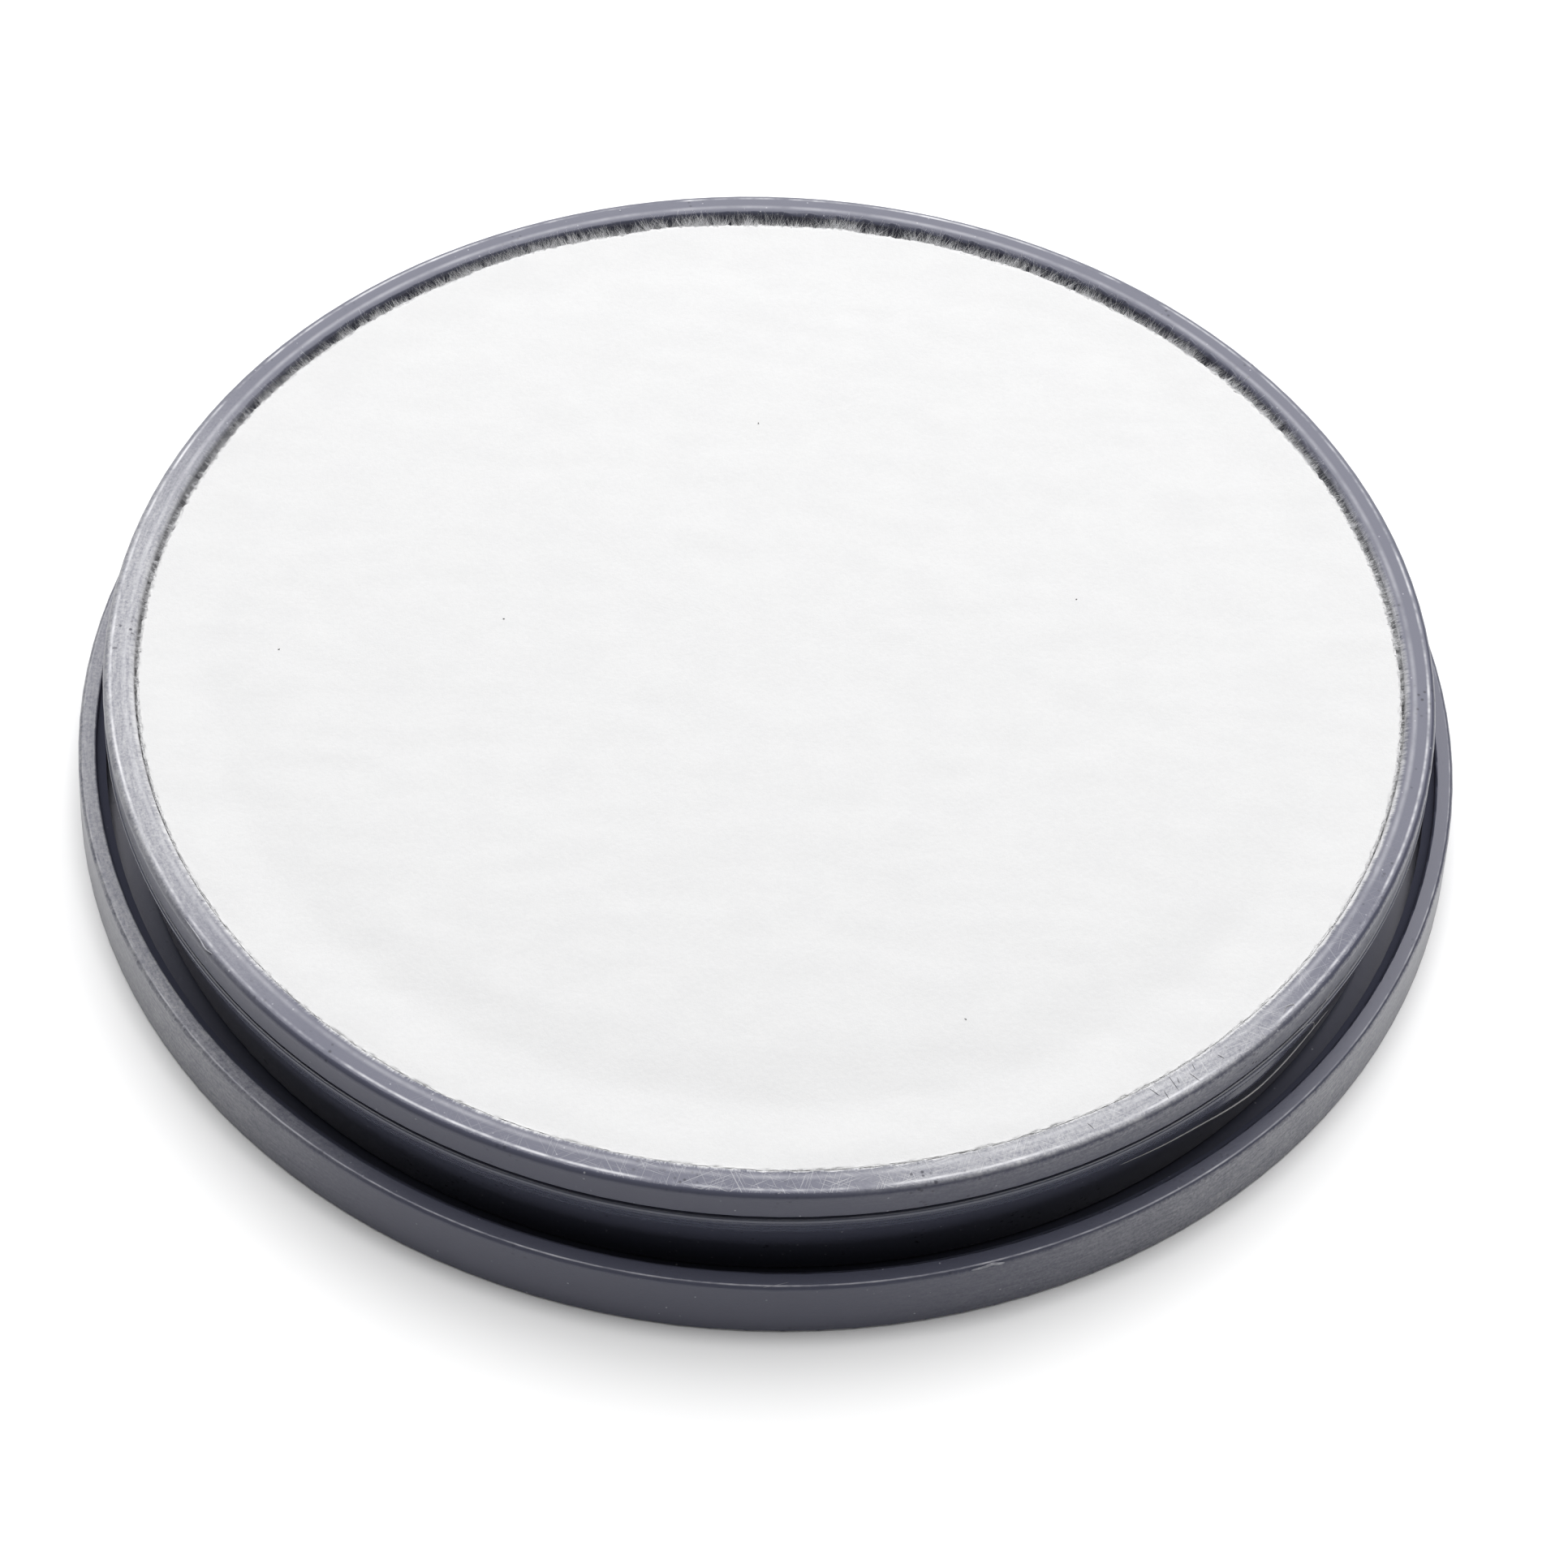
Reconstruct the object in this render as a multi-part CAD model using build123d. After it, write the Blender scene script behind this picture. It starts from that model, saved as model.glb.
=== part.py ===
from build123d import *
import os

# A small round wet palette, standing open in its own upturned lid.
# Millimetres. +Z is up, and the origin is the centre of the face that it rests on.

# Lid, lying upside down with its closed face on the table
lid_height = 3.95
lid_wall_lean = 0.3
lid_wall = 1.05
lid_floor = 1.0
lid_base_round = 0.15
lid_mouth_outer_round = 0.28
lid_mouth_inner_round = 0.13
lid_panel_margin = 4.0
lid_panel_recess = 0.2
lip_proud = 0.5
lip_height = 0.9
lip_depth_below_mouth = 0.55
lip_lead_in = 0.3

# Tub, whose collar and sealing band go inside the lid when it is closed
tub_rim_diameter = 79.0
tub_height = 8.8
rim_width = 1.8
rim_outer_round = 0.4
rim_inner_round = 0.3
collar_height = 2.0
collar_lower_round = 0.12
tub_wall = 1.35
tub_floor = 1.1
tub_base_lean = 0.5
tub_base_round = 0.6
bore_lean = 0.4
bore_floor_round = 0.8
foot_width = 2.0
foot_height = 0.3

# Sealing band, stretched round the neck just under the collar
band_height = 1.6
band_thickness = 0.9
band_proud = 0.12
band_upper_round = 0.3
band_lower_round = 0.12

# Soft pieces, stacked in the tub
membrane_thickness = 1.0
membrane_below_rim = 0.3
sponge_edge_round = 1.2
soft_edge_round = 0.25

# Clearances
lip_to_band_clearance = 0.35
band_axial_clearance = 0.1
sponge_to_bore_clearance = 0.15
membrane_to_bore_clearance = 0.12

# Radii
collar_radius = tub_rim_diameter / 2
bore_radius = collar_radius - rim_width
bore_floor_radius = bore_radius - bore_lean
band_outer_radius = collar_radius + band_proud
band_inner_radius = band_outer_radius - band_thickness
tub_body_radius = bore_radius + tub_wall
tub_base_radius = tub_body_radius - tub_base_lean
lip_radius = band_outer_radius + lip_to_band_clearance
lid_inner_radius = lip_radius + lip_proud
lid_mouth_radius = lid_inner_radius + lid_wall
lid_base_radius = lid_mouth_radius + lid_wall_lean

# Heights
tub_base_z = lid_floor
tub_floor_z = tub_base_z + tub_floor
rim_z = tub_base_z + tub_height
collar_lower_z = rim_z - collar_height
band_top_z = collar_lower_z - band_axial_clearance
band_bottom_z = band_top_z - band_height
band_seat_lower_z = band_bottom_z - band_axial_clearance
membrane_top_z = rim_z - membrane_below_rim
sponge_top_z = membrane_top_z - membrane_thickness


def turned(corners):
    """Turn an outline of (radius, height, rounding) corners about Z."""
    outline = Polyline(*[(radius, height) for radius, height, rounding in corners], close=True)
    section = make_face(outline)
    for radius, height, rounding in corners:
        if rounding:
            corner = section.vertices().sort_by_distance((radius, height, 0))[0]
            section = fillet(corner, rounding)
    return revolve(Plane.XZ * section, Axis.Z)


def bore_radius_at(height):
    """Radius of the tub's bore, which narrows towards its floor."""
    depth_share = (rim_z - height) / (rim_z - tub_floor_z)
    return bore_radius - bore_lean * depth_share


def lid():
    """Shallow cap with a snap lip just inside its mouth."""
    panel_radius = lid_base_radius - lid_panel_margin
    lip_top = lid_height - lip_depth_below_mouth
    lip_bottom = lip_top - lip_height
    return turned([
        (0, lid_panel_recess, 0),
        (panel_radius, lid_panel_recess, 0),
        (panel_radius + lid_panel_recess, 0, 0),
        (lid_base_radius, 0, lid_base_round),
        (lid_mouth_radius, lid_height, lid_mouth_outer_round),
        (lid_inner_radius, lid_height, lid_mouth_inner_round),
        (lid_inner_radius, lip_top, 0),
        (lip_radius, lip_top - lip_lead_in, 0),
        (lip_radius, lip_bottom + lip_lead_in, 0),
        (lid_inner_radius, lip_bottom, 0),
        (lid_inner_radius, lid_floor, 0),
        (0, lid_floor, 0),
    ])


def tub():
    """Round tub with a collar, a neck for the sealing band and a foot ring."""
    foot_inner_radius = tub_base_radius - foot_width
    return turned([
        (0, tub_base_z + foot_height, 0),
        (foot_inner_radius - foot_height, tub_base_z + foot_height, 0),
        (foot_inner_radius, tub_base_z, 0),
        (tub_base_radius, tub_base_z, tub_base_round),
        (tub_body_radius, band_seat_lower_z, 0),
        (band_inner_radius, band_seat_lower_z, 0),
        (band_inner_radius, collar_lower_z, 0),
        (collar_radius, collar_lower_z, collar_lower_round),
        (collar_radius, rim_z, rim_outer_round),
        (bore_radius, rim_z, rim_inner_round),
        (bore_floor_radius, tub_floor_z, bore_floor_round),
        (0, tub_floor_z, 0),
    ])


def sealing_band():
    """Flat elastic ring round the neck of the tub."""
    return turned([
        (band_inner_radius, band_bottom_z, 0),
        (band_outer_radius, band_bottom_z, band_lower_round),
        (band_outer_radius, band_top_z, band_upper_round),
        (band_inner_radius, band_top_z, 0),
    ])


def reservoir_sponge():
    """Disc of sponge that holds the water, loose on the tub's floor."""
    radius = bore_floor_radius - sponge_to_bore_clearance
    return turned([
        (0, tub_floor_z, 0),
        (radius, tub_floor_z, sponge_edge_round),
        (radius, sponge_top_z, soft_edge_round),
        (0, sponge_top_z, 0),
    ])


def palette_membrane():
    """Absorbent white disc that the paint is mixed on, laid on the sponge."""
    radius = bore_radius_at(sponge_top_z) - membrane_to_bore_clearance
    return turned([
        (0, sponge_top_z, 0),
        (radius, sponge_top_z, soft_edge_round),
        (radius, membrane_top_z, soft_edge_round),
        (0, membrane_top_z, 0),
    ])


pieces = {
    "lid": lid(),
    "tub": tub(),
    "sealing_band": sealing_band(),
    "reservoir_sponge": reservoir_sponge(),
    "palette_membrane": palette_membrane(),
}

os.makedirs("parts", exist_ok=True)
for name, piece in pieces.items():
    export_step(piece, f"parts/{name}.step")
    print(name, "volume", round(piece.volume, 1), "mm3")
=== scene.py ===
# %% [markdown]
# # A round wet palette, standing in its own lid
#
# A wet palette keeps acrylic paint workable. A shallow tub holds a damp sponge, and an absorbent white
# disc on the sponge is the surface that the paint is mixed on. A snap lid closes it, and while the palette
# is in use the lid lies upside down under the tub.
#
# The hard pieces come from a CAD model and never change here. This script gives them their finish, and
# makes the soft pieces: the white disc with its fuzzy edge, the sponge and the elastic sealing band.

import math

import bpy
import numpy as np
from mathutils import Matrix, Vector


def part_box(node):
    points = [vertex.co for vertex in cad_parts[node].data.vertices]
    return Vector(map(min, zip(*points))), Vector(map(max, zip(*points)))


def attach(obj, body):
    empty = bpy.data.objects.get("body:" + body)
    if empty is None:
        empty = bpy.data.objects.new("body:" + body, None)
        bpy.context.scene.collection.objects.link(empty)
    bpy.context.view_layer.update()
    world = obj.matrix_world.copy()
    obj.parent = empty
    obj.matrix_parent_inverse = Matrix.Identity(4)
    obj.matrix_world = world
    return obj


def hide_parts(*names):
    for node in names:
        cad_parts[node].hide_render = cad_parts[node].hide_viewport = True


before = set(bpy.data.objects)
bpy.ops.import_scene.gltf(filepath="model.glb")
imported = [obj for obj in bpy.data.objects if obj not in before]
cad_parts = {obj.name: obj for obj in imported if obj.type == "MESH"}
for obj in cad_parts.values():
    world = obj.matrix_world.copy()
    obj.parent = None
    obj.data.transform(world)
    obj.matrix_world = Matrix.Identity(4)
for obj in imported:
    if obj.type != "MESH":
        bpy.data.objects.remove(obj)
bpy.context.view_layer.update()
print("CAD nodes:", sorted(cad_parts))

# %% [markdown]
# ## Where things are
#
# Every size below is read from the box of a CAD node, so the looks follow the design. Lengths are metres,
# as everywhere in Blender, and MM turns millimetres into metres where a detail has a size of its own.

# %% Read the driving sizes from the CAD nodes
MM = 0.001

_, lid_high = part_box("lid")
_, tub_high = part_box("tub")
band_low, band_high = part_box("sealing_band")
sponge_low, sponge_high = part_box("reservoir_sponge")
membrane_low, membrane_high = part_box("palette_membrane")

rim_radius = tub_high.x
rim_height = tub_high.z
mouth_height = lid_high.z
lid_radius = lid_high.x
membrane_radius = membrane_high.x
membrane_top = membrane_high.z
print(f"rim radius {rim_radius / MM:.2f} mm at {rim_height / MM:.2f} mm above the table")

# %% [markdown]
# ## Camera
#
# The palette is seen from in front and well above, with a long lens and the camera turned a little about
# its own axis. Aiming the camera at the middle of the rim first, and then panning, tilting and rolling it
# by small angles, keeps each of these a single number that can be changed alone.

# %% Aim the camera
SENSOR_WIDTH = 36.0
LENS = 83.85
CAMERA_DISTANCE = 217.66 * MM
CAMERA_ELEVATION = math.radians(48.16)
CAMERA_PAN = math.radians(0.293)
CAMERA_TILT = math.radians(-2.279)
CAMERA_ROLL = math.radians(3.032)

rim_centre = Vector((0, 0, rim_height))
towards_camera = Vector((0, -math.cos(CAMERA_ELEVATION), math.sin(CAMERA_ELEVATION)))
aim = (-towards_camera).to_track_quat("-Z", "Y").to_matrix().to_4x4()
turn = Matrix.Rotation(-CAMERA_PAN, 4, "Y") @ Matrix.Rotation(CAMERA_TILT, 4, "X")
roll = Matrix.Rotation(CAMERA_ROLL, 4, "Z")

camera_data = bpy.data.cameras.new("camera")
camera_data.sensor_width = SENSOR_WIDTH
camera_data.lens = LENS
camera_data.clip_start = 10 * MM
camera = bpy.data.objects.new("camera", camera_data)
camera.matrix_world = Matrix.Translation(rim_centre + CAMERA_DISTANCE * towards_camera) @ aim @ turn @ roll
bpy.context.collection.objects.link(camera)
bpy.context.scene.camera = camera
print("camera at, mm:", [round(place / MM, 1) for place in camera.matrix_world.translation])

# %% [markdown]
# ## Light
#
# One large soft box reaches from behind the palette to straight above it, and a weaker card stands below
# it. The rim's flat top mirrors the box, so it is pale, and the upright walls mirror the white floor.
# Nothing bright stands in front, so rounded edges that face forward stay dark, and so does the floor
# right under the lid's front edge. The standard view transform keeps white felt white.

# %% Set up the soft box, the back card and the world
LIGHT_DISTANCE = 0.6
WORLD_STRENGTH = 0.21

scene = bpy.context.scene
scene.view_settings.view_transform = "Standard"


def square_light(name, elevation, right, width, depth, radiance):
    """An area light of even radiance behind the palette, aimed at the middle of the rim."""
    data = bpy.data.lights.new(name, "AREA")
    data.shape = "RECTANGLE"
    data.size = width
    data.size_y = depth
    data.energy = math.pi * width * depth * radiance
    up, turn = math.radians(elevation), math.radians(right)
    towards = Vector((math.sin(turn) * math.cos(up), math.cos(turn) * math.cos(up), math.sin(up)))
    light = bpy.data.objects.new(name, data)
    light.location = rim_centre + LIGHT_DISTANCE * towards
    light.rotation_mode = "QUATERNION"
    light.rotation_quaternion = (-towards).to_track_quat("-Z", "Y")
    bpy.context.collection.objects.link(light)
    print(f"{name}: {data.energy:.2f} W, {width:.2f} x {depth:.2f} m")


square_light("soft_box", elevation=62, right=6, width=0.88, depth=0.76, radiance=3.9)
square_light("back_card", elevation=13, right=0, width=0.9, depth=0.30, radiance=1.6)

world = bpy.data.worlds.new("grey_world")
world.use_nodes = True
world.node_tree.nodes["Background"].inputs["Color"].default_value = (1, 1, 1, 1)
world.node_tree.nodes["Background"].inputs["Strength"].default_value = WORLD_STRENGTH
scene.world = world

# %% [markdown]
# ## Small helpers for meshes
#
# The soft pieces are too irregular for primitives, so their points are worked out with numpy and handed
# to Blender as meshes. Most are surfaces of rings: each ring is one turn round the axis, and its radius
# and height may change along the turn.

# %% Make a mesh object, and a skin over rings of points
def make_piece(name, points, quads, triangles=()):
    """A smooth mesh object from points in metres and from faces of four and of three point numbers."""
    quads = np.array(quads, dtype=np.int32).reshape(-1, 4)
    triangles = np.array(triangles, dtype=np.int32).reshape(-1, 3)
    corners = np.concatenate([quads.ravel(), triangles.ravel()])
    starts = np.concatenate([np.arange(len(quads)) * 4, quads.size + np.arange(len(triangles)) * 3])
    mesh = bpy.data.meshes.new(name)
    mesh.vertices.add(len(points))
    mesh.vertices.foreach_set("co", np.asarray(points, dtype=np.float32).ravel())
    mesh.loops.add(len(corners))
    mesh.loops.foreach_set("vertex_index", corners)
    mesh.polygons.add(len(starts))
    mesh.polygons.foreach_set("loop_start", starts)
    mesh.update(calc_edges=True)
    mesh.validate()
    mesh.shade_smooth()
    piece = bpy.data.objects.new(name, mesh)
    bpy.context.collection.objects.link(piece)
    return piece


def ring_faces(rings, around, closed):
    """Quads between neighbouring rings, and from the last ring back to the first if closed."""
    ring = np.arange(rings if closed else rings - 1)[:, None]
    step = np.arange(around)[None, :]
    after = (step + 1) % around
    here, there = ring * around, ((ring + 1) % rings) * around
    return np.stack([here + step, here + after, there + after, there + step], axis=-1).reshape(-1, 4)


def capped_disc(name, radii, heights):
    """A closed body from rings that start near the axis on top and end near it below."""
    rings, around = radii.shape
    turn_angle = np.linspace(0, 2 * np.pi, around, endpoint=False)
    points = np.stack(
        [radii * np.cos(turn_angle), radii * np.sin(turn_angle), heights], axis=-1
    ).reshape(-1, 3)
    top_middle, bottom_middle = rings * around, rings * around + 1
    points = np.vstack([points, [0, 0, heights[0].mean()], [0, 0, heights[-1].mean()]])
    step = np.arange(around)
    after = (step + 1) % around
    last = (rings - 1) * around
    top_fan = np.stack([np.full(around, top_middle), step, after], axis=-1)
    bottom_fan = np.stack([np.full(around, bottom_middle), last + after, last + step], axis=-1)
    quads = ring_faces(rings, around, closed=False)[:, ::-1]
    return make_piece(name, points, quads, np.vstack([top_fan, bottom_fan]))


def wander(angle, counts, seed):
    """Smooth noise along a turn, about -1 to 1: sine waves with whole counts per turn."""
    draw = np.random.default_rng(seed)
    total = np.zeros_like(angle)
    for count in counts:
        total += np.sin(count * angle + draw.uniform(0, 2 * np.pi)) * draw.uniform(0.5, 1)
    return total / math.sqrt(len(counts))


def smooth_step(value, low, high):
    """0 below low, 1 above high, and an even curve between."""
    share = np.clip((value - low) / (high - low), 0, 1)
    return share * share * (3 - 2 * share)


def bump_at(angle, middle, half_width):
    """A bell of height 1 round a direction given in degrees, with no step anywhere on the turn."""
    away = (np.degrees(angle) - middle + 180) % 360 - 180
    return np.exp(-((away / half_width) ** 2))

# %% [markdown]
# ## The white membrane
#
# The disc is cut from absorbent felt. It could be one smooth cylinder, but light from behind shows that it
# isn't flat: it is a little higher in the middle, falls into a shallow ring near its edge, and turns down
# where it meets the wall. So its top is a grid of rings with those heights added, plus a fine random
# unevenness. The edge has drawn back from the wall at the back, most of all in a few places.

# %% Shape the membrane from rings
MEMBRANE_AROUND = 1200
MEMBRANE_RINGS = 150
EDGE_RINGS = 9
DOME_FALL = 0.14 * MM
MATTED_HEIGHT = 0.03 * MM
CUT_ROUGHNESS = 0.02 * MM
FELT_REACH = 0.18 * MM
DRAWN_BACK = 0.42

# (direction, half width, depth) of places where the felt has shrunk, and (direction, half width) of places
# where it touches the rim. Directions and widths are in degrees, and depths in millimetres.
SHRUNK_PLACES = [(94, 8, 0.12), (80, 6, 0.1), (70, 5, 0.08), (108, 4, 0.07), (58, 7, 0.08), (46, 6, 0.06)]
TOUCHING_PLACES = [(102.5, 3.0), (85.4, 1.3), (76.3, 1.6), (118.0, 5.0), (66.0, 2.2)]


def matted(x, y, long, wide, seed, size=0.09, cell=0.0002):
    """Smooth random heights over a plane, about -1 to 1, drawn out along X like matted fibres."""
    count = int(size / cell)
    draw = np.random.default_rng(seed)
    field = draw.standard_normal((count, count))
    along = np.fft.fftfreq(count, cell)[None, :] * long
    across = np.fft.fftfreq(count, cell)[:, None] * wide
    field = np.fft.ifft2(np.fft.fft2(field) * np.exp(-8 * (along ** 2 + across ** 2))).real
    field /= 2 * field.std()
    column = np.clip(((x + size / 2) / cell).astype(int), 0, count - 1)
    row = np.clip(((y + size / 2) / cell).astype(int), 0, count - 1)
    return field[row, column]


def behind(angle):
    """0 in front and 1 at the back, but lower where the felt touches the rim."""
    share = (0.5 + 0.5 * np.sin(angle)) ** 2
    for middle, half_width in TOUCHING_PLACES:
        share = share * (1 - 0.15 * bump_at(angle, middle, half_width))
    return share


def shrinkage(angle):
    """How far the felt has drawn back from the wall, in metres, with a scalloped cut."""
    fine_cut = wander(angle, range(110, 420, 23), seed=3)
    long_cut = wander(angle, range(9, 60, 5), seed=4)
    cut = 0.07 + 0.035 * fine_cut + 0.02 * long_cut
    total = cut * (0.15 + 0.85 * smooth_step(np.sin(angle), -0.6, 0.3))
    total = total + 0.08 * smooth_step(np.sin(angle), -0.7, 0.1) + DRAWN_BACK * behind(angle)
    for middle, half_width, depth in SHRUNK_PLACES:
        total = total + depth * bump_at(angle, middle, half_width)
    return np.clip(total, 0, None) * MM


def edge_roll(angle):
    """Depth of the rounded-over edge, in metres: slight in front and deeper at the back."""
    return (0.05 + 0.5 * behind(angle)) * MM


def edge_roll_width(angle):
    """Width of the rounded-over edge, in metres."""
    return (0.12 + 0.4 * behind(angle)) * MM


def membrane_height(radius, angle):
    """Height of the felt's top, before the edge turns down. The dished ring is deepest in front."""
    front = 0.5 - 0.5 * np.sin(angle)
    share = radius / membrane_radius
    fall = DOME_FALL * smooth_step(share, 0.78, 0.9) * (0.15 + 0.85 * front)
    rise = smooth_step(share, 0.88, 0.99) * (0.05 + 0.14 * front) * MM
    return membrane_top - fall + rise


turn_angle = np.linspace(0, 2 * np.pi, MEMBRANE_AROUND, endpoint=False)
felt_edge = membrane_radius + FELT_REACH - shrinkage(turn_angle)
flat_end = felt_edge - edge_roll_width(turn_angle)
draw = np.random.default_rng(11)

radii_rows = []
height_rows = []
for share in np.sqrt(np.linspace(0.0004, 1, MEMBRANE_RINGS)):
    ring_radius = share * flat_end
    ring_height = membrane_height(ring_radius, turn_angle)
    x, y = ring_radius * np.cos(turn_angle), ring_radius * np.sin(turn_angle)
    ring_height = ring_height + MATTED_HEIGHT * 0.5 * matted(x, y, 0.0022, 0.0009, seed=12)
    ring_height = ring_height + MATTED_HEIGHT * 0.3 * matted(x, y, 0.009, 0.005, seed=13)
    radii_rows.append(ring_radius)
    height_rows.append(ring_height)
edge_top = height_rows[-1]
for quarter in np.linspace(0.12, 1, EDGE_RINGS):
    swing = quarter * math.pi / 2
    roughness = CUT_ROUGHNESS * draw.standard_normal(MEMBRANE_AROUND)
    radii_rows.append(flat_end + edge_roll_width(turn_angle) * math.sin(swing) + roughness)
    height_rows.append(edge_top - edge_roll(turn_angle) * (1 - math.cos(swing)) + roughness)
bottom = membrane_low.z
for ring_share, height in ((0.998, bottom + 0.2 * MM), (0.99, bottom), (0.5, bottom), (0.02, bottom)):
    radii_rows.append(ring_share * felt_edge)
    height_rows.append(np.full(MEMBRANE_AROUND, height))

membrane = capped_disc("felt_membrane", np.array(radii_rows), np.array(height_rows))
print(f"membrane: {len(membrane.data.vertices)} points, {membrane_radius * 2 / MM:.1f} mm across")

# %% [markdown]
# ## Fuzz along the felt's cut edge
#
# Cut felt sheds short fibres. A particle system would grow them, but it isn't a mesh and can't be
# exported, so each fibre is a thin three-sided tube that tapers to its tip. All the fibres are joined in
# one mesh, because thousands of separate objects would be slow. They are longest at the back, where they
# bridge the gap to the wall, and short in front.

# %% Grow tapered fibres along given lines
FIBRE_SIDES = 3


def fibre_piece(name, roots, directions, lengths, widths, droop, seed, joints):
    """One mesh of tapered fibres that leave roots along directions and bend at random."""
    draw = np.random.default_rng(seed)
    count = len(roots)
    directions = directions / np.linalg.norm(directions, axis=1, keepdims=True)
    bend = draw.standard_normal((count, 3)) * droop
    across = np.cross(directions, [0.0, 0.0, 1.0])
    across /= np.linalg.norm(across, axis=1, keepdims=True) + 1e-9
    upward = np.cross(across, directions)
    rows = []
    for step in range(joints + 1):
        share = step / joints
        spine = roots + lengths[:, None] * (directions * share + bend * share ** 2)
        half_width = widths[:, None] * (1 - 0.85 * share) / 2
        for side in range(FIBRE_SIDES):
            swing = 2 * math.pi * side / FIBRE_SIDES
            rows.append(spine + half_width * (across * math.cos(swing) + upward * math.sin(swing)))
    points = np.stack(rows, axis=1).reshape(-1, 3)
    first = np.arange(count)[:, None, None] * (joints + 1) * FIBRE_SIDES
    here = first + np.arange(joints)[None, :, None] * FIBRE_SIDES
    side = np.arange(FIBRE_SIDES)[None, None, :]
    after = (side + 1) % FIBRE_SIDES
    there = here + FIBRE_SIDES
    quads = np.stack([here + side, there + side, there + after, here + after], axis=-1)
    root = first.ravel()
    tip = root + joints * FIBRE_SIDES
    caps = np.concatenate([
        np.stack([root, root + 1, root + 2], axis=-1),
        np.stack([tip + 2, tip + 1, tip], axis=-1),
    ])
    return make_piece(name, points, quads.reshape(-1, 4), caps)

# %% Grow the fuzz round the membrane
FUZZ_TUFTS = 2600
FUZZ_PER_TUFT = 14
FUZZ_LENGTH = 0.16 * MM
FUZZ_WIDTH = 0.018 * MM
SHORTEST_FUZZ = 0.03 * MM
TUFT_SPREAD = 0.0035
TALL_SHARE = 0.4

FUZZ_COUNT = FUZZ_TUFTS * FUZZ_PER_TUFT
draw = np.random.default_rng(21)
tuft_angle = draw.uniform(0, 2 * np.pi, FUZZ_TUFTS)
tuft_lean = draw.normal(0, 0.4, FUZZ_TUFTS)
fuzz_angle = np.repeat(tuft_angle, FUZZ_PER_TUFT) + draw.normal(0, TUFT_SPREAD, FUZZ_COUNT)
fuzz_swing = draw.uniform(0.1, 1.0, FUZZ_COUNT) * math.pi / 2
fuzz_edge = membrane_radius + FELT_REACH - shrinkage(fuzz_angle)
fuzz_radius = fuzz_edge - edge_roll_width(fuzz_angle) * (1 - np.sin(fuzz_swing)) - 0.03 * MM
fuzz_height = membrane_height(fuzz_edge - edge_roll_width(fuzz_angle), fuzz_angle)
fuzz_height = fuzz_height - edge_roll(fuzz_angle) * (1 - np.cos(fuzz_swing)) - 0.02 * MM
outward = np.stack([np.cos(fuzz_angle), np.sin(fuzz_angle), np.zeros(FUZZ_COUNT)], axis=1)
sideways = np.stack([-np.sin(fuzz_angle), np.cos(fuzz_angle), np.zeros(FUZZ_COUNT)], axis=1)
fuzz_roots = outward * fuzz_radius[:, None]
fuzz_roots[:, 2] = fuzz_height
lean = np.repeat(tuft_lean, FUZZ_PER_TUFT) + draw.normal(0, 0.3, FUZZ_COUNT)
in_front = 1 - smooth_step(np.sin(fuzz_angle), -0.9, 0.3)
tall = draw.random(FUZZ_COUNT) < TALL_SHARE
rise = draw.uniform(0.02, 0.4, FUZZ_COUNT) + 0.4 * tall * (1 - in_front)
fuzz_directions = outward + sideways * lean[:, None] + np.array([0, 0, 1.0]) * rise[:, None]
slant = np.sqrt(1 + lean ** 2 + rise ** 2)
wall_radius = membrane_radius + FELT_REACH + 0.25 * MM * smooth_step(rise, 0.3, 0.7)
ceiling = rim_height + 0.04 * MM * (1 - behind(fuzz_angle))
fuzz_lengths = draw.exponential(FUZZ_LENGTH, FUZZ_COUNT) * (1 - 0.7 * in_front + behind(fuzz_angle))
fuzz_lengths = (fuzz_lengths + SHORTEST_FUZZ) * (1 + 0.8 * tall * (1 - in_front))
for middle, half_width in TOUCHING_PLACES:
    fuzz_lengths = fuzz_lengths * (1 + 1.6 * bump_at(fuzz_angle, middle, half_width))
fuzz_lengths = np.minimum(fuzz_lengths, (wall_radius - fuzz_radius) * slant)
fuzz_lengths = np.minimum(fuzz_lengths, (ceiling - fuzz_height) * slant / rise)
fuzz_widths = FUZZ_WIDTH * draw.uniform(0.6, 1.3, FUZZ_COUNT)
fuzz = fibre_piece(
    "felt_fuzz", fuzz_roots, fuzz_directions, fuzz_lengths, fuzz_widths, droop=0.1, seed=22, joints=2
)
print(f"fuzz: {FUZZ_COUNT} fibres, up to {fuzz_lengths.max() / MM:.2f} mm long")

# %% [markdown]
# ## The sponge
#
# The sponge is hidden until the membrane is lifted. Cellulose sponge is full of rounded pores of mixed
# sizes. Real pores would need millions of faces, so the larger ones are dents pushed into a dense skin,
# and the finest are left to the material.

# %% Shape the sponge and dent its pores
SPONGE_AROUND = 400
SPONGE_RINGS = 70
SPONGE_SIDE_RINGS = 14
SPONGE_CORNER = 1.0 * MM
SPONGE_PORES = 1500
PORE_RADIUS = 0.75 * MM
PORE_DEPTH = 0.45 * MM

sponge_radius = sponge_high.x
sponge_height = sponge_high.z - sponge_low.z
profile = []
for share in np.linspace(0.02, 1, SPONGE_RINGS):
    profile.append((share * (sponge_radius - SPONGE_CORNER * 0.4), sponge_high.z))
for share in np.linspace(0.06, 1, SPONGE_SIDE_RINGS):
    fall = 0.02 + 0.8 * share
    profile.append((sponge_radius, sponge_high.z - fall * sponge_height))
for share in np.linspace(1, 0.02, SPONGE_RINGS):
    profile.append((share * (sponge_radius - SPONGE_CORNER), sponge_low.z))
rings = np.repeat(np.array(profile)[:, :, None], SPONGE_AROUND, axis=2)
sponge = capped_disc("cellulose_sponge", rings[:, 0], rings[:, 1])


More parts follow.
